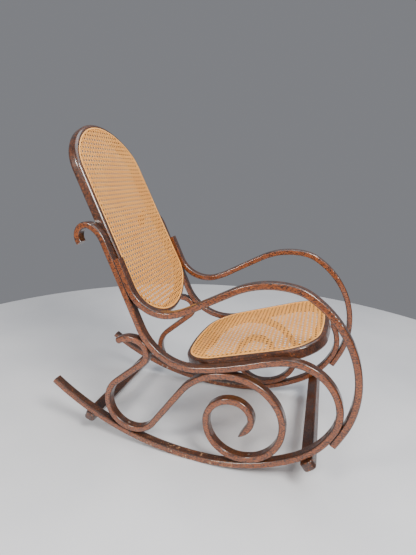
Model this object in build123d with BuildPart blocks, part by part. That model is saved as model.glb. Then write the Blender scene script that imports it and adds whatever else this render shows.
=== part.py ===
"""Bentwood rocking chair: two bent side frames, two stretchers, a caned back and a caned seat.

The chair faces +X, Z is up, and the two side frames mirror each other about the plane Y = 0.
A rod is drawn as a walk in the plane of its side frame: (radius, turn) for each bend, turn
positive to the left, and (length, 0) for each straight stretch.
"""
import os
from math import cos, hypot, radians, sin

from build123d import *

# side frames
SPLAY = 2.6  # each side frame turns outwards towards the front, degrees
HALF = 250.0  # half width over the side frames, at the drawing's origin
ROD = 20.0  # rod thickness in the plane of the side frame
ROD_ACROSS = 30.0  # rod width across the chair
ROD_ROUND = 5.0
SHIFT_X = 48.4  # moves the drawing so that the box of the chair is centred
SHIFT_Z = -0.835
TILT = 2.2  # turns the whole chair about Y to where it balances on its runners

SIDE_START = (-381.5, 678.0, 128.0)
SIDE_BENDS = [
    (35, -159), (92, -36.5), (280, 0), (179, 77), (1040, 9.5), (555, -7.8),
    (136.4, -99), (119.3, -27.3), (256.7, -35.9),
    (567, -29), (536, -2.2), (28, 0), (506, -2.04), (900, -32.76),
]
BACK_LEG = 3  # the third entry is the straight back leg
FRONT_BEND = 6  # the entries before the bend under the seat's front
TRIM = 2.0  # how far a trimming block reaches past the rod's faces

ARM_FROM = 61.5  # the arm starts this far down the straight back leg
ARM_BENDS = [(94, 0), (119, 82), (245, 12.9), (148, 0), (254, -38.5), (126, -22),
    (295, -82.5), (600, -4.8)]

SCROLL = 20.4
SCROLL_START = (-267.5, 375.0, 33.0)
SCROLL_BENDS = [
    (76, -59.5), (41, -114.5), (130.5, 0), (90, 194), (164.5, 0), (195, -64), (156, -43.5),
    (127, -128), (104, -95.75), (80, -90), (59, -50.75), (46.5, -56),
]
SCROLL_TAIL = (56, -50)  # the outer edge runs on into a point
SCROLL_NOSE = 7.0

SPLICE = 1959.0  # where the runner's tail is spliced on, along the side rod
SPLICE_LAP = 46.0
SPLICE_PLAY = 0.5  # the two halves of the lap part this far off the middle

# trimming blocks, larger than what they trim
OVERRUN = 1.0
BLOCK_RUN = 600.0
BLOCK_HIGH = 300.0
BLOCK_ACROSS = 40.0
SPACE_MIDDLE = 500.0
SPACE_SIZE = 1400.0
SPACE_DEEP = 120.0

# back
BACK_AT = (-295.0, 723.5)
BACK_LEAN = 23.5
BACK_FOOT = -322.0  # spline's outer edge below the back's centre
BACK_BENDS = [(257.6, 41.4), (85, 50.4), (387, 0), (105, 38)]
BACK_TOP_TURN = 50.2
BACK_BORDER = 13.5
BACK_DEEP = 35.0
BACK_ROUND = 11.0
BACK_LIP = 7.0

# seat
SEAT_AT = (-74.5, 316.5)
SEAT_RISE = 15.6
SEAT_BENDS = [(709, 9), (118, 78.5), (204.5, 0), (106, 84.5)]
SEAT_FRONT_TURN = 8.0
SEAT_BORDER = 12.5
SEAT_DEEP = 34.0
SEAT_ROUND = 7.0
SEAT_LIP = 17.0

SPLINE = 5.0
GROOVE = 6.6  # the spline and the turned-down edge of the cane
GROOVE_DEEP = 8.0
CANE = 1.6
SPLINE_PROUD = 0.9
SPLINE_ROUND = 1.2
GROOVE_GAP = 1.0  # under the cane's turned-down edge

# stretchers: centre, slope, width, height, overhang past the runners
FRONT_BAR = (333.5, 82.4, 36.0, 40.0, 28.0, 12.0)
REAR_BAR = (-394.5, 80.6, -26.5, 38.0, 28.0, 3.0)
BAR_CORNER = 13.0
BAR_ROUND = 5.0
RING_ROUND = 4.0

# wood screws
HEAD = 8.4
SHANK = 4.2
POINT = 5.0
SLOT = 1.0
SLOT_DEEP = 1.0
HEAD_RIM = 0.4
SINK = 3.0  # depth of the hole behind a head
LET_IN = 0.3
ROD_SCREW = 33.0
BAR_SCREW = 40.0
RING_SCREW = 48.0
SPLICE_SCREW = 24.0
ARM_JOINTS = [229.0, 299.0, 1228.0]  # along the side rod, where it is screwed to the arm
SCROLL_JOINTS = [  # on the scroll and on the side rod
    ((-179, 361), 495.0), ((-254, 73), 1947.0), ((58, 309), 727.0), ((162, 49.5), 1507.0),
]
SEAT_JOINTS = [762.0, 893.0]
BACK_JOINTS = [246.0, 283.0]
SPLICE_JOINTS = [1971.0, 1994.0]
SEAT_HEADS = 65.2  # the heads inside the hoops, in from the outer face of the side frame
BACK_HEADS = 54.8

os.makedirs("parts", exist_ok=True)


def placed(x, z, heading=0.0):
    """A drawn station, moved and turned to its place in the chair."""
    c, s = cos(radians(TILT)), sin(radians(TILT))
    return c * x - s * z + SHIFT_X, s * x + c * z + SHIFT_Z, heading + TILT


def side_plane(inset):
    """The plane of the right-hand side frame, `inset` in from its outer face."""
    c, s = cos(radians(SPLAY)), sin(radians(SPLAY))
    base = HALF - SHIFT_X * s / c
    origin = (inset * s, -base + inset * c, 0)
    return Plane(origin=origin, x_dir=(c, -s, 0), z_dir=(-s, -c, 0))


def step(x, z, heading, size, turn):
    """The station after one entry of a walk."""
    if turn == 0:
        return x + size * cos(radians(heading)), z + size * sin(radians(heading)), heading
    r = size if turn > 0 else -size
    after = heading + turn
    x += r * (sin(radians(after)) - sin(radians(heading)))
    z -= r * (cos(radians(after)) - cos(radians(heading)))
    return x, z, after


def station(start, bends, length=None):
    """The station at the end of a walk, or `length` along it."""
    x, z, heading = start
    for size, turn in bends:
        run = size if turn == 0 else size * radians(abs(turn))
        if length is not None and length <= run:
            part = (length, 0) if turn == 0 else (size, turn * length / run)
            return step(x, z, heading, *part)
        x, z, heading = step(x, z, heading, size, turn)
        if length is not None:
            length -= run
    return x, z, heading


def beside(at, off):
    """The point `off` to the left of a station."""
    x, z, heading = at
    return x - off * sin(radians(heading)), z + off * cos(radians(heading))


def draw_walk(start, bends, off):
    """Draw the line that runs `off` to the left of a walk, inside an open BuildLine."""
    at = start
    for size, turn in bends:
        here = beside(at, off)
        way = (cos(radians(at[2])), sin(radians(at[2])))
        if turn == 0:
            Line(here, (here[0] + size * way[0], here[1] + size * way[1]))
        else:
            JernArc(start=here, tangent=way, radius=size - off * (1 if turn > 0 else -1), arc_size=turn)
        at = step(*at, size, turn)
    return beside(start, off), beside(at, off)


def cap(a, b, way, bulge):
    """Close a rod's end from a to b, straight or as a round nose `bulge` long."""
    if bulge == 0:
        Line(a, b)
        return
    middle = ((a[0] + b[0]) / 2 + bulge * way[0], (a[1] + b[1]) / 2 + bulge * way[1])
    ThreePointArc(a, middle, b)


def heading_way(heading):
    return cos(radians(heading)), sin(radians(heading))


def is_cut(edge, thick):
    """Is this edge the straight cut at a rod's end?"""
    return edge.geom_type == GeomType.LINE and abs(edge.length - thick) < OVERRUN / 2


def rod(start, bends, thick, noses=(0, 0), tail=None):
    """A bent rod of the right-hand side frame. `tail` is one more bend, of its left edge only."""
    end = station(start, bends)
    with BuildPart() as bent:
        with BuildSketch(side_plane(ROD_ACROSS / 2)):
            with BuildLine():
                left = draw_walk(start, bends + ([tail] if tail else []), thick / 2)
                right = draw_walk(start, bends, -thick / 2)
                cap(left[0], right[0], heading_way(start[2] + 180), noses[0])
                cap(left[1], right[1], heading_way(end[2]), noses[1])
            make_face()
        extrude(amount=ROD_ACROSS / 2, both=True)
        flats = bent.faces().filter_by(GeomType.PLANE).sort_by(SortBy.AREA)[-2:]
        long_edges = [e for flat in flats for e in flat.edges() if not is_cut(e, thick)]
        fillet(long_edges, radius=ROD_ROUND)
    return bent.part


def side_start():
    return placed(*SIDE_START)


def arm_walk():
    """The arm starts flat on the front of the back leg and ends pressed on the side rod's bend."""
    leg = sum(s if t == 0 else s * radians(abs(t)) for s, t in SIDE_BENDS[: BACK_LEG - 1])
    at = station(side_start(), SIDE_BENDS, leg + ARM_FROM)
    return (*beside(at, ROD), at[2]), ARM_BENDS


def front_bend():
    """The side rod from its front bend on, square and a little wide, for trimming the arm's foot."""
    start = station(side_start(), SIDE_BENDS[:FRONT_BEND])
    with BuildPart() as block:
        with BuildSketch(side_plane(ROD_ACROSS / 2)):
            with BuildLine():
                left = draw_walk(start, SIDE_BENDS[FRONT_BEND : FRONT_BEND + 3], ROD / 2)
                right = draw_walk(start, SIDE_BENDS[FRONT_BEND : FRONT_BEND + 3], -ROD / 2)
                Line(left[0], right[0])
                Line(left[1], right[1])
            make_face()
        extrude(amount=ROD_ACROSS / 2 + TRIM, both=True)
    return block.part


def beyond(at, run, across, high):
    """A block that starts at a station and runs on along its heading, for cutting rods."""
    plane = side_plane(ROD_ACROSS / 2)
    corner = plane.from_local_coords((at[0], at[1], 0))
    ahead = plane.from_local_coords((at[0] + cos(radians(at[2])), at[1] + sin(radians(at[2])), 0))
    along = Plane(origin=corner, x_dir=ahead - corner, z_dir=plane.z_dir)
    with BuildPart() as block:
        with BuildSketch(along.offset(across[0])):
            with Locations((run / 2, 0)):
                Rectangle(run, high)
        extrude(amount=across[1] - across[0])
    return block.part


def splice_cut():
    """Everything behind the half-lap that joins the runner's tail to the side rod."""
    first = station(side_start(), SIDE_BENDS, SPLICE)
    second = station(side_start(), SIDE_BENDS, SPLICE + SPLICE_LAP)
    with BuildPart() as cut:
        add(beyond(first, BLOCK_RUN, (0, BLOCK_ACROSS), BLOCK_HIGH))
        add(beyond(second, BLOCK_RUN, (-BLOCK_ACROSS, SPLICE_PLAY), BLOCK_HIGH))
    return cut.part


def back_plane():
    x, z, lean = placed(*BACK_AT, BACK_LEAN)
    c, s = cos(radians(lean)), sin(radians(lean))
    return Plane(origin=(x, 0, z), x_dir=(0, 1, 0), z_dir=(c, 0, s))


def seat_plane():
    x, z, rise = placed(*SEAT_AT, SEAT_RISE)
    c, s = cos(radians(rise)), sin(radians(rise))
    return Plane(origin=(x, 0, z), x_dir=(c, 0, s), z_dir=(-s, 0, c))


def back_half():
    """Half of the back's outline, from the foot up its +Y side to the crown."""
    start = (0.0, BACK_FOOT, 0.0)
    across, _, _ = station(start, BACK_BENDS)
    crown = across / sin(radians(BACK_TOP_TURN))
    return start, BACK_BENDS + [(crown, BACK_TOP_TURN)]


def seat_half():
    """Half of the seat's outline, from the rear along its -Y side to the front."""
    start = (0.0, 0.0, -90.0)
    _, across, _ = station(start, SEAT_BENDS)
    front = -across / sin(radians(SEAT_FRONT_TURN))
    return start, SEAT_BENDS + [(front, SEAT_FRONT_TURN)]


def mirror_walk(start, bends, axis):
    """The walk along the other half of a symmetric outline."""
    heading = 180 - start[2] if axis == "y" else -start[2]
    at = (-start[0], start[1], heading) if axis == "y" else (start[0], -start[1], heading)
    return at, [(size, -turn) for size, turn in bends]


def outline(half, axis, off):
    """The closed line that runs `off` outside a symmetric outline."""
    start, bends = half
    other, back = mirror_walk(start, bends, axis)
    with BuildLine() as line:
        draw_walk(start, bends, -off)
        draw_walk(other, back, off)
    return line.line


def band(plane, half, axis, outer, inner, low, high):
    """A solid between two offsets of an outline, from `low` to `high` over its plane."""
    with BuildPart() as made:
        with BuildSketch(plane.offset(low)):
            add(outline(half, axis, outer))
            make_face()
        extrude(amount=high - low)
        if inner is not None:
            with BuildSketch(plane.offset(low - OVERRUN)):
                add(outline(half, axis, inner))
                make_face()
            extrude(amount=high - low + 2 * OVERRUN, mode=Mode.SUBTRACT)
    return made.part


def hoop(plane, half, axis, border, deep, rounding, lip):
    """A bent hoop, grooved for the spline and stepped for the cane, trimmed between the rods."""
    with BuildPart() as ring:
        add(band(plane, half, axis, border, None, -deep, 0))
        flats = ring.faces().filter_by(GeomType.PLANE).sort_by(SortBy.AREA)[-2:]
        fillet([e for flat in flats for e in flat.edges()], radius=rounding)
        add(band(plane, half, axis, -GROOVE - lip, None, -deep - OVERRUN, OVERRUN), mode=Mode.SUBTRACT)
        under = ring.faces().filter_by(GeomType.PLANE).sort_by(Axis(plane.origin, plane.z_dir))[0]
        fillet(under.inner_wires()[0].edges(), radius=RING_ROUND)
        add(band(plane, half, axis, -GROOVE, None, -CANE, OVERRUN), mode=Mode.SUBTRACT)
        add(band(plane, half, axis, 0, -GROOVE, -GROOVE_DEEP, OVERRUN), mode=Mode.SUBTRACT)
        add(outside(), mode=Mode.SUBTRACT)
        add(mirror(outside(), about=Plane.XZ), mode=Mode.SUBTRACT)
    return ring.part


def cane_sheet(plane, half, axis):
    """A cane sheet on the hoop's lip, its edge turned down into the groove."""
    with BuildPart() as sheet:
        add(band(plane, half, axis, -SPLINE, None, -CANE, 0))
        add(band(plane, half, axis, -SPLINE, -GROOVE, -GROOVE_DEEP + GROOVE_GAP, -CANE))
    return sheet.part


def spline_cord(plane, half, axis):
    """The cane cord that fills the groove and stands a little proud of it."""
    with BuildPart() as cord:
        add(band(plane, half, axis, 0, -SPLINE, -GROOVE_DEEP, SPLINE_PROUD))
        top = cord.faces().filter_by(GeomType.PLANE).sort_by(Axis(plane.origin, plane.z_dir))[-1]
        fillet(top.edges(), radius=SPLINE_ROUND)
    return cord.part


def outside():
    """All the space outside the inner face of the right-hand side frame."""
    with BuildPart() as space:
        with BuildSketch(side_plane(ROD_ACROSS)):
            with Locations((0, SPACE_MIDDLE)):
                Rectangle(SPACE_SIZE, SPACE_SIZE)
        extrude(amount=SPACE_DEEP)
    return space.part


def stretcher(x, z, slope, wide, high, overhang):
    """A flat bar under both runners, its ends rounded."""
    x, z, slope = placed(x, z, slope)
    c, s = cos(radians(slope)), sin(radians(slope))
    base = Plane(origin=(x + high / 2 * s, 0, z - high / 2 * c), x_dir=(c, 0, s), z_dir=(-s, 0, c))
    half = HALF + (x - SHIFT_X) * sin(radians(SPLAY)) / cos(radians(SPLAY)) + overhang
    with BuildPart() as bar:
        with BuildSketch(base):
            RectangleRounded(wide, 2 * half, BAR_CORNER)
        extrude(amount=high)
        flats = bar.faces().filter_by(GeomType.PLANE).sort_by(Axis(base.origin, base.z_dir))
        fillet(flats[0].edges() + flats[-1].edges(), radius=BAR_ROUND)
    return bar.part


def wood_screw(length):
    """A slotted countersunk screw, its head's top at the origin and its point along +Z."""
    with BuildPart() as screw:
        with BuildSketch(Plane.XZ):
            with BuildLine():
                Polyline(
                    (0, 0), (HEAD / 2, 0), (HEAD / 2, HEAD_RIM),
                    (SHANK / 2, HEAD_RIM + (HEAD - SHANK) / 2),
                    (SHANK / 2, length - POINT), (0, length), (0, 0),
                )
            make_face()
        revolve(axis=Axis.Z)
        with BuildSketch(Plane.XY):
            Rectangle(HEAD + OVERRUN, SLOT)
        extrude(amount=SLOT_DEEP, mode=Mode.SUBTRACT)
    return screw.part


def screw_hole(length):
    """The hole of a wood screw, open behind its head."""
    with BuildPart() as hole:
        with BuildSketch(Plane.XZ):
            with BuildLine():
                Polyline(
                    (0, -SINK), (HEAD / 2, -SINK), (HEAD / 2, HEAD_RIM),
                    (SHANK / 2, HEAD_RIM + (HEAD - SHANK) / 2), (SHANK / 2, length - POINT), (0, length),
                    (0, -SINK),
                )
            make_face()
        revolve(axis=Axis.Z)
    return hole.part


def across_plane(at, way):
    """A plane in the middle of the right-hand side frame, facing along `way`."""
    plane = side_plane(ROD_ACROSS / 2)
    origin = plane.from_local_coords((at[0], at[1], 0))
    tip = plane.from_local_coords((at[0] + way[0], at[1] + way[1], 0))
    return Plane(origin=origin, x_dir=plane.z_dir, z_dir=tip - origin)


def rod_place(length):
    """A screw's place on the right-hand edge of the side rod, driven to the left into the arm."""
    at = station(side_start(), SIDE_BENDS, length)
    left = (-sin(radians(at[2])), cos(radians(at[2])))
    return across_plane(beside(at, LET_IN - ROD / 2), left)


def scroll_place(centre, length):
    """A screw's place on the scroll's free face, driven into the side rod."""
    sx, sz, _ = placed(*centre)
    at = station(side_start(), SIDE_BENDS, length)
    dx, dz = at[0] - sx, at[1] - sz
    run = hypot(dx, dz)
    way = (dx / run, dz / run)
    head = (at[0] - (ROD * 1.5 - LET_IN) * way[0], at[1] - (ROD * 1.5 - LET_IN) * way[1])
    return across_plane(head, way)


def side_place(length, inset):
    """A screw's place `inset` in from the outer face of the side frame, driven outwards."""
    x, z, _ = station(side_start(), SIDE_BENDS, length)
    plane = side_plane(inset)
    return Plane(origin=plane.from_local_coords((x, z, 0)), x_dir=plane.x_dir, z_dir=plane.z_dir)


def bar_place(x, z, slope, wide, high, overhang):
    """A screw's place under a stretcher, driven up into the runner."""
    x, z, slope = placed(x, z, slope)
    up = (-sin(radians(slope)), cos(radians(slope)))
    low = high / 2 - LET_IN
    return across_plane((x - low * up[0], z - low * up[1]), up)


def set_of(places, screw):
    """The same screw at each place."""
    with BuildPart() as group:
        with Locations(*places):
            add(screw)
    return group.part


joints = {
    "rod": ([rod_place(s) for s in ARM_JOINTS]
            + [scroll_place(*joint) for joint in SCROLL_JOINTS], ROD_SCREW),
    "bar": ([bar_place(*FRONT_BAR), bar_place(*REAR_BAR)], BAR_SCREW),
    "ring": ([side_place(s, SEAT_HEADS) for s in SEAT_JOINTS]
             + [side_place(s, BACK_HEADS) for s in BACK_JOINTS], RING_SCREW),
    "splice": ([side_place(s, ROD_ACROSS - LET_IN) for s in SPLICE_JOINTS], SPLICE_SCREW),
}
screws = {name: set_of(places, wood_screw(length)) for name, (places, length) in joints.items()}
holes = {name: set_of(places, screw_hole(length)) for name, (places, length) in joints.items()}

whole_rod = rod(side_start(), SIDE_BENDS, ROD)
behind_splice = splice_cut()

with BuildPart() as side_rod_right:
    add(whole_rod)
    add(behind_splice, mode=Mode.SUBTRACT)
    for name in ("rod", "bar", "ring", "splice"):
        add(holes[name], mode=Mode.SUBTRACT)

with BuildPart() as runner_tail_right:
    add(whole_rod)
    add(behind_splice, mode=Mode.INTERSECT)
    add(holes["bar"], mode=Mode.SUBTRACT)
    add(holes["splice"], mode=Mode.SUBTRACT)

with BuildPart() as arm_right:
    add(rod(*arm_walk(), ROD))
    add(holes["rod"], mode=Mode.SUBTRACT)
    add(front_bend(), mode=Mode.SUBTRACT)

with BuildPart() as scroll_right:
    add(rod(placed(*SCROLL_START), SCROLL_BENDS, SCROLL, noses=(SCROLL_NOSE, 0), tail=SCROLL_TAIL))
    add(holes["rod"], mode=Mode.SUBTRACT)
    add(whole_rod, mode=Mode.SUBTRACT)

with BuildPart() as side_rod_left:
    add(mirror(side_rod_right.part, about=Plane.XZ))

with BuildPart() as runner_tail_left:
    add(mirror(runner_tail_right.part, about=Plane.XZ))

with BuildPart() as arm_left:
    add(mirror(arm_right.part, about=Plane.XZ))

with BuildPart() as scroll_left:
    add(mirror(scroll_right.part, about=Plane.XZ))

with BuildPart() as front_stretcher:
    add(stretcher(*FRONT_BAR))
    for cutter in (whole_rod, holes["bar"]):
        add(cutter, mode=Mode.SUBTRACT)
        add(mirror(cutter, about=Plane.XZ), mode=Mode.SUBTRACT)

with BuildPart() as rear_stretcher:
    add(stretcher(*REAR_BAR))
    for cutter in (whole_rod, holes["bar"]):
        add(cutter, mode=Mode.SUBTRACT)
        add(mirror(cutter, about=Plane.XZ), mode=Mode.SUBTRACT)

back = (back_plane(), back_half(), "y")
seat = (seat_plane(), seat_half(), "x")

with BuildPart() as back_frame:
    add(hoop(*back, BACK_BORDER, BACK_DEEP, BACK_ROUND, BACK_LIP))
    add(holes["ring"], mode=Mode.SUBTRACT)
    add(mirror(holes["ring"], about=Plane.XZ), mode=Mode.SUBTRACT)

with BuildPart() as back_cane:
    add(cane_sheet(*back))

with BuildPart() as back_spline:
    add(spline_cord(*back))

with BuildPart() as seat_frame:
    add(hoop(*seat, SEAT_BORDER, SEAT_DEEP, SEAT_ROUND, SEAT_LIP))
    add(holes["ring"], mode=Mode.SUBTRACT)
    add(mirror(holes["ring"], about=Plane.XZ), mode=Mode.SUBTRACT)

with BuildPart() as seat_cane:
    add(cane_sheet(*seat))

with BuildPart() as seat_spline:
    add(spline_cord(*seat))

with BuildPart() as rod_screws:
    add(screws["rod"])
    mirror(about=Plane.XZ)

with BuildPart() as stretcher_screws:
    add(screws["bar"])
    mirror(about=Plane.XZ)

with BuildPart() as ring_screws:
    add(screws["ring"])
    mirror(about=Plane.XZ)

with BuildPart() as splice_screws:
    add(screws["splice"])
    mirror(about=Plane.XZ)

side_rod_right.part.label = "side_rod_right"
runner_tail_right.part.label = "runner_tail_right"
arm_right.part.label = "arm_right"
scroll_right.part.label = "scroll_right"
side_rod_left.part.label = "side_rod_left"
runner_tail_left.part.label = "runner_tail_left"
arm_left.part.label = "arm_left"
scroll_left.part.label = "scroll_left"
front_stretcher.part.label = "front_stretcher"
rear_stretcher.part.label = "rear_stretcher"
back_frame.part.label = "back_frame"
back_cane.part.label = "back_cane"
back_spline.part.label = "back_spline"
seat_frame.part.label = "seat_frame"
seat_cane.part.label = "seat_cane"
seat_spline.part.label = "seat_spline"
rod_screws.part.label = "rod_screws"
stretcher_screws.part.label = "stretcher_screws"
ring_screws.part.label = "ring_screws"
splice_screws.part.label = "splice_screws"

export_step(side_rod_right.part, "parts/side_rod_right.step")
export_step(runner_tail_right.part, "parts/runner_tail_right.step")
export_step(arm_right.part, "parts/arm_right.step")
export_step(scroll_right.part, "parts/scroll_right.step")
export_step(side_rod_left.part, "parts/side_rod_left.step")
export_step(runner_tail_left.part, "parts/runner_tail_left.step")
export_step(arm_left.part, "parts/arm_left.step")
export_step(scroll_left.part, "parts/scroll_left.step")
export_step(front_stretcher.part, "parts/front_stretcher.step")
export_step(rear_stretcher.part, "parts/rear_stretcher.step")
export_step(back_frame.part, "parts/back_frame.step")
export_step(back_cane.part, "parts/back_cane.step")
export_step(back_spline.part, "parts/back_spline.step")
export_step(seat_frame.part, "parts/seat_frame.step")
export_step(seat_cane.part, "parts/seat_cane.step")
export_step(seat_spline.part, "parts/seat_spline.step")
export_step(rod_screws.part, "parts/rod_screws.step")
export_step(stretcher_screws.part, "parts/stretcher_screws.step")
export_step(ring_screws.part, "parts/ring_screws.step")
export_step(splice_screws.part, "parts/splice_screws.step")
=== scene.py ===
"""The looks of a bentwood rocking chair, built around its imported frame.

The chair faces +X, Z is up and lengths are in metres. The wooden parts, the splines and the
screws keep their CAD shape and get finishes; the two cane sheets are replaced by woven cane.
"""

import random
from math import ceil, cos, pi, radians, sin, sqrt

import bpy
from bpy.props import FloatProperty, FloatVectorProperty, IntProperty, PointerProperty
from mathutils import Matrix, Vector
from mathutils.geometry import convex_hull_2d


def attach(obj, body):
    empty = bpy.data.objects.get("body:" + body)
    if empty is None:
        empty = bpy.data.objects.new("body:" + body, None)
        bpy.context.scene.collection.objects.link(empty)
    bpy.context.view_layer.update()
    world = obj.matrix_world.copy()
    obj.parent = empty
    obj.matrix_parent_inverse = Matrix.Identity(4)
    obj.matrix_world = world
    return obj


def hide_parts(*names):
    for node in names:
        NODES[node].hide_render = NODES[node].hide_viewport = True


bl_info = {
    "name": "Bentwood Rocking Chair",
    "version": (1, 0, 0),
    "blender": (4, 5, 0),
    "location": "View3D > Sidebar > Rocking Chair",
    "description": "Weaves the cane and finishes the wood of a bentwood rocking chair",
    "category": "Object",
}

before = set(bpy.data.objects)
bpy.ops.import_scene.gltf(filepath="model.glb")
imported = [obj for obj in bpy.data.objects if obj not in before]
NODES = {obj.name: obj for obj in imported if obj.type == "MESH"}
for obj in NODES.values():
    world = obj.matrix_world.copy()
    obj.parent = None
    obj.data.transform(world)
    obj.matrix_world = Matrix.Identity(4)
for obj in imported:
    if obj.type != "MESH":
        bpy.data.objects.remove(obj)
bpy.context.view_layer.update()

SAME_PLANE = 0.9999  # cosine between the normals of two faces of one plane
SAME_LEVEL = 0.0004
TINY = 1e-9
PARALLEL = 1e-12
SLANT_RIPPLE = 1.9  # a slanting strand's ripple, in ripples of the others
FLOOR_SIDES = 160

KEY_AT, KEY_SIZE, KEY_TINT = (1.5, -1.5, 2.5), 1.1, (1.0, 0.97, 0.93)
SIDE_AT, SIDE_SIZE, SIDE_TINT = (-1.5, -2.4, 1.9), 0.8, (1.0, 0.96, 0.9)
FILL_AT, FILL_SIZE, FILL_TINT = (0.3, 0.4, 3.0), 2.6, (0.93, 0.96, 1.0)
KEY_AIM, SIDE_AIM, FILL_AIM = (0, 0, 0.4), (0, 0, 0.45), (0, 0, 0.3)


def colour(name, description, default):
    return FloatVectorProperty(
        name=name, description=description, subtype="COLOR", size=3, min=0, max=1, default=default
    )


def length(name, description, default):
    return FloatProperty(name=name, description=description, default=default, min=0, unit="LENGTH",
                         precision=5)


def share(name, description, default):
    return FloatProperty(name=name, description=description, default=default, min=0, max=1,
                         subtype="FACTOR")


class WeaveSettings(bpy.types.PropertyGroup):
    pitch: length("Pitch", "From one pair of strands to the next", 0.0145)
    spread: length("Spread", "From a pair's middle to each of its strands", 0.0022)
    strand: length("Strand width", "Width of the strands across and along the panel", 0.0036)
    diagonal: length("Diagonal width", "Width of the strands that run at 45 degrees", 0.0033)
    crown: length("Crown", "How far a strand's middle stands over its edges", 0.00026)
    ripple: length("Ripple", "How far a strand rises and dips where it crosses another", 0.00034)
    depth: length("Depth", "The weave's middle, under the front of the cane sheet", 0.0008)
    tuck: length("Tuck", "How far a strand runs on under the spline", 0.0012)
    seed: IntProperty(name="Seed", description="Changes the tone of single strands", default=7)
    pale: colour("Pale cane", "Cane where it is new", (0.94, 0.46, 0.105))
    deep: colour("Deep cane", "Cane where it has darkened", (0.74, 0.30, 0.055))
    fibre: colour("Fibre", "The dark fibres of the cane", (0.40, 0.17, 0.06))


class WoodSettings(bpy.types.PropertyGroup):
    dark: colour("Dark stain", "The stain where it is thickest", (0.014, 0.0055, 0.0038))
    warm: colour("Warm stain", "The stain where the wood shows through", (0.30, 0.072, 0.012))
    fleck: colour("Fleck", "The bright flecks of the grain", (0.50, 0.145, 0.028))
    pore: colour("Pore", "The dark pores of the grain", (0.016, 0.007, 0.005))
    bare: colour("Bare wood", "Wood where the stain is rubbed off", (0.50, 0.30, 0.16))
    wear_height: length("Wear height", "How high over the floor the runners are scuffed", 0.05)
    # These two set painted light: how much lighter and warmer the rods' and the hoops' faces that look
    # to the chair's sides are coloured
    rod_side_light: share("Rod sides", "How thin the stain is on the rods' wide faces", 0.62)
    hoop_side_light: share("Hoop sides", "How thin the stain is on the hoops' wide faces", 0.12)
    gloss: share("Lacquer", "How much clear lacquer covers the stain", 0.75)


class TrimSettings(bpy.types.PropertyGroup):
    spline_pale: colour("Pale spline", "The cane spline's light colour", (0.93, 0.46, 0.12))
    spline_deep: colour("Deep spline", "The cane spline's dark fibres", (0.62, 0.26, 0.06))
    screw: colour("Screw", "Steel of the screw heads", (0.50, 0.46, 0.40))
    tarnish: colour("Tarnish", "Brown film on the screws", (0.17, 0.12, 0.085))


class StageSettings(bpy.types.PropertyGroup):
    floor_radius: length("Floor radius", "Radius of the round floor", 1.75)
    floor: colour("Floor", "Colour of the floor", (0.70, 0.71, 0.735))
    room: colour("Room", "Colour of the air around the floor", (0.215, 0.22, 0.238))
    key: FloatProperty(name="Key light", description="Power of the soft light in front", default=120,
                       unit="POWER")
    side: FloatProperty(name="Side light", description="Power of the light at the chair's right",
                        default=66, unit="POWER")
    fill: FloatProperty(name="Fill light", description="Power of the light overhead", default=52,
                        unit="POWER")
    camera_at: FloatVectorProperty(name="Camera", description="Where the camera stands",
                                   subtype="TRANSLATION", default=(0.3442, -1.265, 0.8947))
    azimuth: FloatProperty(name="Azimuth", description="The camera's turn about Z",
                           subtype="ANGLE", default=radians(15.754))
    elevation: FloatProperty(name="Elevation", description="How far the camera looks down",
                             subtype="ANGLE", default=radians(15.278))
    roll: FloatProperty(name="Roll", description="The camera's turn about its own axis",
                        subtype="ANGLE", default=radians(2.189))
    lens: FloatProperty(name="Lens", description="Focal length in millimetres, on a 36 mm sensor",
                        default=25.82)


class Shader:
    """A material whose nodes are added one by one."""

    def __init__(self, name):
        self.material = bpy.data.materials.new(name)
        self.material.use_nodes = True
        self.tree = self.material.node_tree
        self.surface = self.tree.nodes["Principled BSDF"]

    def add(self, kind, inputs=(), **fields):
        """Add a node, set its fields, and set or link its sockets by name or number."""
        made = self.tree.nodes.new(kind)
        for field, value in fields.items():
            setattr(made, field, value)
        for socket, value in dict(inputs).items():
            self.put(made.inputs[socket], value)
        return made

    def put(self, socket, value):
        if isinstance(value, bpy.types.NodeSocket):
            self.tree.links.new(value, socket)
        else:
            socket.default_value = value

    def set(self, **values):
        """Set or link the surface's sockets, named with _ for a space."""
        for socket, value in values.items():
            self.put(self.surface.inputs[socket.replace("_", " ")], value)

    def place(self):
        return self.add("ShaderNodeTexCoord").outputs["Object"]

    def noise(self, vector, scale, detail=3.0, roughness=0.5):
        inputs = {"Vector": vector, "Scale": scale, "Detail": detail, "Roughness": roughness}
        return self.add("ShaderNodeTexNoise", inputs).outputs["Fac"]

    def stretch(self, vector, scale):
        inputs = {"Vector": vector, "Scale": scale}
        return self.add("ShaderNodeMapping", inputs).outputs["Vector"]

    def between(self, value, low, high, to_low=0.0, to_high=1.0):
        inputs = {"Value": value, "From Min": low, "From Max": high, "To Min": to_low,
                  "To Max": to_high}
        made = self.add("ShaderNodeMapRange", inputs, interpolation_type="SMOOTHSTEP")
        return made.outputs["Result"]

    def maths(self, operation, a, b=0.0):
        return self.add("ShaderNodeMath", {0: a, 1: b}, operation=operation).outputs["Value"]

    def mix(self, factor, a, b):
        made = self.add("ShaderNodeMix", {"Factor": factor}, data_type="RGBA")
        self.put(made.inputs["A"], a)
        self.put(made.inputs["B"], b)
        return made.outputs["Result"]

    def bump(self, height, distance, strength=1.0, normal=None):
        inputs = {"Height": height, "Distance": distance, "Strength": strength}
        if normal is not None:
            inputs["Normal"] = normal
        return self.add("ShaderNodeBump", inputs).outputs["Normal"]


def rgba(value):
    return (*value, 1.0)


def finish_with(material, names):
    """Give CAD nodes one finish all over."""
    for name in names:
        mesh = NODES[name].data
        mesh.materials.clear()
        mesh.materials.append(material)


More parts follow.
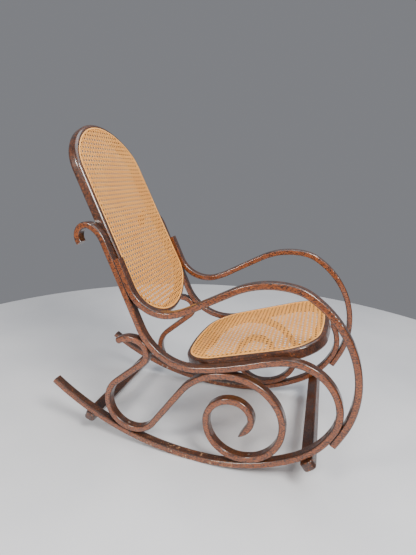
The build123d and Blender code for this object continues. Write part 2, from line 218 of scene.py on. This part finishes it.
def cane_finish(settings):
    cane = Shader("woven_cane")
    place = cane.place()
    tone = cane.add("ShaderNodeAttribute", attribute_name="tone").outputs["Fac"]
    blotch = cane.noise(place, 14, 2)
    fibre = cane.noise(place, 1500, 2, 0.6)
    aged = cane.maths("ADD", cane.maths("MULTIPLY", tone, 0.62), cane.maths("MULTIPLY", blotch, 0.45))
    body = cane.mix(aged, rgba(settings.pale), rgba(settings.deep))
    streaked = cane.mix(cane.between(fibre, 0.52, 0.75, 0, 0.42), body, rgba(settings.fibre))
    cane.set(
        Base_Color=streaked,
        Roughness=cane.between(fibre, 0.3, 0.7, 0.36, 0.52),
        Normal=cane.bump(fibre, 0.00012, 0.35),
        Specular_IOR_Level=0.45,
        Coat_Weight=0.08,
        Coat_Roughness=0.3,
    )
    return cane.material


def wood_finish(name, settings, side_light_share):
    """Lacquered stain, with painted light on the faces that look to the chair's sides: their colour is
    lighter and warmer by the given share.
    """
    wood = Shader(name)
    place = wood.place()
    height = wood.add("ShaderNodeSeparateXYZ", {"Vector": place}).outputs["Z"]
    facing = wood.add("ShaderNodeNewGeometry").outputs["Normal"]
    sideways = wood.add("ShaderNodeSeparateXYZ", {"Vector": facing}).outputs["Y"]
    # Painted light: faces that look to the chair's sides get a lighter, warmer colour, as if lit from
    # the side
    painted_side_light = wood.between(wood.maths("ABSOLUTE", sideways), 0.72, 0.98, 0, side_light_share)
    cloud = wood.noise(place, 9, 3, 0.55)
    mottle = wood.noise(place, 60, 4, 0.62)
    streak = wood.noise(wood.stretch(place, (0.04, 1.0, 0.04)), 520, 3, 0.6)
    fleck = wood.noise(wood.stretch(place, (0.4, 1.0, 0.7)), 420, 4, 0.72)
    pore = wood.noise(wood.stretch(place, (0.3, 1.0, 0.6)), 560, 3, 0.65)
    uneven = wood.maths("ADD", wood.maths("MULTIPLY", cloud, 0.5), wood.maths("MULTIPLY", mottle, 0.5))
    # The stain's uneven thinness plus the painted side light; the stain colour mixed from it carries
    # both
    thin = wood.maths("ADD", wood.between(uneven, 0.40, 0.68, 0.0, 0.24), painted_side_light)
    stain = wood.mix(thin, rgba(settings.dark), rgba(settings.warm))
    streaked = wood.mix(wood.between(streak, 0.52, 0.72, 0, 0.22), stain, rgba(settings.warm))
    flecked = wood.mix(wood.between(fleck, 0.52, 0.64, 0, 0.5), streaked, rgba(settings.fleck))
    pored = wood.mix(wood.between(pore, 0.48, 0.58, 0, 0.95), flecked, rgba(settings.pore))
    low = wood.between(height, 0.004, settings.wear_height, 1, 0)
    chips = wood.between(wood.noise(place, 85, 5, 0.68), 0.57, 0.63)
    worn = wood.maths("MULTIPLY", low, chips)
    wood.set(
        Base_Color=wood.mix(worn, pored, rgba(settings.bare)),
        Roughness=wood.between(mottle, 0.3, 0.7, 0.32, 0.5),
        Normal=wood.bump(pore, 0.00010, 0.45, wood.bump(fleck, 0.00014, 0.3)),
        Coat_Weight=settings.gloss,
        Coat_Roughness=0.08,
        Coat_IOR=1.5,
        Specular_IOR_Level=0.5,
    )
    return wood.material


def spline_finish(settings):
    spline = Shader("cane_spline")
    place = spline.place()
    streak = spline.noise(place, 240, 4, 0.7)
    patch = spline.noise(place, 22, 2)
    body = spline.mix(spline.between(patch, 0.35, 0.7, 0, 0.35), rgba(settings.spline_pale),
                      rgba(settings.spline_deep))
    lined = spline.mix(spline.between(streak, 0.52, 0.72, 0, 0.6), body, rgba(settings.spline_deep))
    spline.set(
        Base_Color=lined,
        Roughness=spline.between(streak, 0.3, 0.7, 0.42, 0.6),
        Normal=spline.bump(streak, 0.0002, 0.4),
    )
    return spline.material


def screw_finish(settings):
    steel = Shader("screw_steel")
    place = steel.place()
    tarnish = steel.noise(place, 420, 4, 0.6)
    steel.set(
        Base_Color=steel.mix(steel.between(tarnish, 0.4, 0.7), rgba(settings.screw),
                             rgba(settings.tarnish)),
        Metallic=1.0,
        Roughness=steel.between(tarnish, 0.3, 0.7, 0.3, 0.55),
        Normal=steel.bump(tarnish, 0.00008, 0.3),
    )
    return steel.material


class Panel:
    """The front face of a cane sheet: its plane, and its outline across and along that plane."""

    def __init__(self, node):
        mesh = NODES[node].data
        faces = [f for f in mesh.polygons if f.normal.z > 0]
        main = max(faces, key=lambda f: f.area).normal.copy()
        front = [f for f in faces if f.normal.dot(main) > SAME_PLANE]
        self.normal = sum((f.normal * f.area for f in front), Vector()).normalized()
        self.across = Vector((0, 1, 0))
        self.along = self.normal.cross(self.across).normalized()
        corners = [mesh.vertices[i].co for f in front for i in f.vertices]
        level = max(c.dot(self.normal) for c in corners)
        corners = [c for c in corners if level - c.dot(self.normal) < SAME_LEVEL]
        self.origin = self.normal * level
        flat = [Vector((c.dot(self.across), c.dot(self.along))) for c in corners]
        self.outline = [flat[i] for i in convex_hull_2d(flat)]
        heights = [p.y for p in flat]
        self.middle = (min(heights) + max(heights)) / 2
        self.reach = max(p.length for p in flat) + abs(self.middle)

    def point(self, u, v, height):
        return self.origin + self.across * u + self.along * v + self.normal * height

    def crossing(self, start, way):
        """Where a line enters and leaves the outline, as distances from its start, or None."""
        hits = []
        for a, b in zip(self.outline, self.outline[1:] + self.outline[:1]):
            edge = b - a
            cross = way.x * edge.y - way.y * edge.x
            if abs(cross) < PARALLEL:
                continue
            gap = a - start
            along_edge = (gap.x * way.y - gap.y * way.x) / cross
            if -TINY <= along_edge <= 1 + TINY:
                hits.append((gap.x * edge.y - gap.y * edge.x) / cross)
        if len(hits) < 2:
            return None
        return min(hits), max(hits)


def with_middles(values):
    """The values with the middle of each neighbouring two put in between, without the last."""
    made = []
    for a, b in zip(values, values[1:]):
        made += [a, (a + b) / 2]
    return made


class Weaver:
    """Collects the strands of one woven panel in a single mesh."""

    def __init__(self, panel, settings):
        self.panel = panel
        self.settings = settings
        self.vertices = []
        self.faces = []
        self.tones = []
        self.chance = random.Random(settings.seed)

    def strand(self, start, way, stops, heights, width):
        """A crowned ribbon along a line, through a height at each stop, clipped to the panel."""
        s = self.settings
        ends = self.panel.crossing(start, way)
        if ends is None or ends[1] - ends[0] < s.pitch / 2:
            return
        low, high = ends[0] - s.tuck, ends[1] + s.tuck
        path = [(t, h) for t, h in zip(stops, heights) if low < t < high]
        if not path:
            return
        path = [(low, 0.0)] + path + [(high, 0.0)]
        side = Vector((-way.y, way.x)) * width / 2
        tone = self.chance.random()
        first = len(self.vertices)
        for t, h in path:
            u, v = start + way * t
            level = h - s.depth
            self.vertices += [
                self.panel.point(u - side.x, v - side.y, level - s.crown / 2),
                self.panel.point(u, v, level + s.crown),
                self.panel.point(u + side.x, v + side.y, level - s.crown / 2),
                self.panel.point(u, v, level - s.crown),
            ]
            self.tones += [tone] * 4
        for i in range(len(path) - 1):
            here, there = first + 4 * i, first + 4 * i + 4
            for k in range(4):
                following = (k + 1) % 4
                self.faces.append((here + k, there + k, there + following, here + following))
        last = first + 4 * (len(path) - 1)
        self.faces.append((first, first + 1, first + 2, first + 3))
        self.faces.append((last + 3, last + 2, last + 1, last))

    def positions(self, centre):
        """Where each strand of the pairs lies, on both sides of a middle line."""
        s = self.settings
        count = ceil(self.panel.reach / s.pitch)
        return [centre + i * s.pitch + off for i in range(-count, count + 1)
                for off in (-s.spread, s.spread)]

    def weave(self):
        s = self.settings
        columns = self.positions(0.0)
        rows = self.positions(self.panel.middle)
        for i, u in enumerate(columns):
            heights = [s.ripple * (-1) ** (i + j) for j in range(len(rows))]
            self.strand(Vector((u, 0)), Vector((0, 1)), rows, heights, s.strand)
        for j, v in enumerate(rows):
            heights = [-s.ripple * (-1) ** (i + j) for i in range(len(columns))]
            self.strand(Vector((0, v)), Vector((1, 0)), columns, heights, s.strand)
        self.diagonals(1)
        self.diagonals(-1)

    def diagonals(self, lean):
        """One family of slanting strands, midway between the pairs' crossings."""
        s = self.settings
        way = Vector((1, lean)).normalized()
        count = ceil(2 * self.panel.reach / s.pitch)
        stride = s.pitch / sqrt(2)
        for k in range(-count, count + 1):
            start = Vector((0, self.panel.middle + (k + 0.5) * s.pitch))
            steps = range(-2 * count, 2 * count + 1)
            stops = [i * stride for i in steps]
            heights = [lean * SLANT_RIPPLE * s.ripple * (-1) ** i for i in steps]
            self.strand(start, way, with_middles(stops), with_middles(heights), s.diagonal)

    def build(self, name):
        mesh = bpy.data.meshes.new(name)
        mesh.from_pydata(self.vertices, [], self.faces)
        mesh.attributes.new("tone", "FLOAT", "POINT").data.foreach_set("value", self.tones)
        mesh.shade_smooth()
        mesh.update()
        piece = bpy.data.objects.new(name, mesh)
        bpy.context.scene.collection.objects.link(piece)
        return piece


def weave_panel(name, node, settings):
    weaver = Weaver(Panel(node), settings)
    weaver.weave()
    piece = weaver.build(name)
    material = bpy.data.materials.get("woven_cane") or cane_finish(settings)
    piece.data.materials.append(material)
    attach(piece, "root")
    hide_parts(node)
    return piece


def named(part):
    """The CAD nodes whose name holds a word."""
    found = [name for name in NODES if part in name]
    if not found:
        raise RuntimeError(f"the frame has no node with {part} in its name")
    return found


class CHAIR_OT_weave_back(bpy.types.Operator):
    """Weave the cane of the back"""

    bl_idname = "chair.weave_back"
    bl_label = "Weave the back"

    def execute(self, context):
        weave_panel("back_weave", "back_cane", context.scene.chair_weave)
        return {"FINISHED"}


class CHAIR_OT_weave_seat(bpy.types.Operator):
    """Weave the cane of the seat"""

    bl_idname = "chair.weave_seat"
    bl_label = "Weave the seat"

    def execute(self, context):
        weave_panel("seat_weave", "seat_cane", context.scene.chair_weave)
        return {"FINISHED"}


class CHAIR_OT_finish_wood(bpy.types.Operator):
    """Stain and lacquer the side frames, the hoops and the stretchers"""

    bl_idname = "chair.finish_wood"
    bl_label = "Finish the wood"

    def execute(self, context):
        settings = context.scene.chair_wood
        # Each finish gets its own share of painted light on the faces that look to the chair's sides
        rods = wood_finish("lacquered_rods", settings, settings.rod_side_light)
        hoops = wood_finish("lacquered_hoops", settings, settings.hoop_side_light)
        for part in ("side_rod", "runner_tail", "arm_", "scroll_"):
            finish_with(rods, named(part))
        for part in ("_stretcher", "_frame"):
            finish_with(hoops, named(part))
        return {"FINISHED"}


class CHAIR_OT_finish_splines(bpy.types.Operator):
    """Finish the cane cords that hold the weave in its grooves"""

    bl_idname = "chair.finish_splines"
    bl_label = "Finish the splines"

    def execute(self, context):
        finish_with(spline_finish(context.scene.chair_trim), named("_spline"))
        return {"FINISHED"}


class CHAIR_OT_finish_screws(bpy.types.Operator):
    """Finish the steel wood screws"""

    bl_idname = "chair.finish_screws"
    bl_label = "Finish the screws"

    def execute(self, context):
        finish_with(screw_finish(context.scene.chair_trim), named("_screws"))
        return {"FINISHED"}


def soft_light(name, place, aim, size, power, tint):
    lamp = bpy.data.lights.new(name, "AREA")
    lamp.shape = "DISK"
    lamp.size = size
    lamp.energy = power
    lamp.color = tint
    light = bpy.data.objects.new(name, lamp)
    light.location = place
    light.rotation_euler = (Vector(aim) - Vector(place)).to_track_quat("-Z", "Y").to_euler()
    bpy.context.scene.collection.objects.link(light)


def lay_floor(settings):
    """A round floor under the chair, its rim kept round by many sides."""
    turns = [2 * pi * i / FLOOR_SIDES for i in range(FLOOR_SIDES)]
    radius = settings.floor_radius
    rim = [(radius * cos(turn), radius * sin(turn), 0) for turn in turns]
    mesh = bpy.data.meshes.new("floor")
    mesh.from_pydata(rim, [], [tuple(range(FLOOR_SIDES))])
    plain = Shader("floor_paint")
    mottle = plain.noise(plain.place(), 2.5, 3)
    r, g, b = settings.floor
    plain.set(
        Base_Color=plain.mix(plain.between(mottle, 0.3, 0.7, 0, 1), (r, g, b, 1.0),
                             (r * 0.92, g * 0.925, b * 0.935, 1.0)),
        Roughness=0.42,
        Specular_IOR_Level=0.35,
    )
    mesh.materials.append(plain.material)
    ground = bpy.data.objects.new("floor", mesh)
    bpy.context.scene.collection.objects.link(ground)


def set_camera(settings):
    a, e, roll = settings.azimuth, settings.elevation, settings.roll
    back = Vector((sin(a) * cos(e), -cos(a) * cos(e), sin(e)))
    level = Vector((cos(a), sin(a), 0))
    upright = back.cross(level)
    right = level * cos(roll) + upright * sin(roll)
    up = back.cross(right)
    lens = bpy.data.cameras.new("camera")
    lens.lens = settings.lens
    lens.sensor_width = 36
    camera = bpy.data.objects.new("camera", lens)
    turn = Matrix((right, up, back)).transposed().to_4x4()
    camera.matrix_world = Matrix.Translation(settings.camera_at) @ turn
    bpy.context.scene.collection.objects.link(camera)
    bpy.context.scene.camera = camera


class CHAIR_OT_set_stage(bpy.types.Operator):
    """Lay the floor and set up the lights and the camera"""

    bl_idname = "chair.set_stage"
    bl_label = "Set the stage"

    def execute(self, context):
        settings = context.scene.chair_stage
        lay_floor(settings)
        soft_light("key", KEY_AT, KEY_AIM, KEY_SIZE, settings.key, KEY_TINT)
        soft_light("side", SIDE_AT, SIDE_AIM, SIDE_SIZE, settings.side, SIDE_TINT)
        soft_light("fill", FILL_AT, FILL_AIM, FILL_SIZE, settings.fill, FILL_TINT)
        world = bpy.data.worlds.new("room")
        world.use_nodes = True
        world.node_tree.nodes["Background"].inputs["Color"].default_value = rgba(settings.room)
        context.scene.world = world
        set_camera(settings)
        return {"FINISHED"}


STEPS = (
    CHAIR_OT_weave_back,
    CHAIR_OT_weave_seat,
    CHAIR_OT_finish_wood,
    CHAIR_OT_finish_splines,
    CHAIR_OT_finish_screws,
    CHAIR_OT_set_stage,
)


class CHAIR_PT_tools(bpy.types.Panel):
    """Every step of the chair's looks, with its settings"""

    bl_idname = "CHAIR_PT_tools"
    bl_label = "Rocking Chair"
    bl_space_type = "VIEW_3D"
    bl_region_type = "UI"
    bl_category = "Rocking Chair"

    def draw(self, context):
        for step in STEPS:
            self.layout.operator(step.bl_idname)
        for group in ("chair_weave", "chair_wood", "chair_trim", "chair_stage"):
            settings = getattr(context.scene, group)
            box = self.layout.box()
            for name in settings.__annotations__:
                box.prop(settings, name)


GROUPS = {
    "chair_weave": WeaveSettings,
    "chair_wood": WoodSettings,
    "chair_trim": TrimSettings,
    "chair_stage": StageSettings,
}


def register():
    for cls in (*GROUPS.values(), *STEPS, CHAIR_PT_tools):
        bpy.utils.register_class(cls)
    for name, group in GROUPS.items():
        setattr(bpy.types.Scene, name, PointerProperty(type=group))


def unregister():
    for name in GROUPS:
        delattr(bpy.types.Scene, name)
    for cls in reversed((*GROUPS.values(), *STEPS, CHAIR_PT_tools)):
        bpy.utils.unregister_class(cls)


def main():
    register()
    bpy.ops.chair.weave_back()
    bpy.ops.chair.weave_seat()
    bpy.ops.chair.finish_wood()
    bpy.ops.chair.finish_splines()
    bpy.ops.chair.finish_screws()
    bpy.ops.chair.set_stage()
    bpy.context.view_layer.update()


if __name__ == "__main__":
    main()
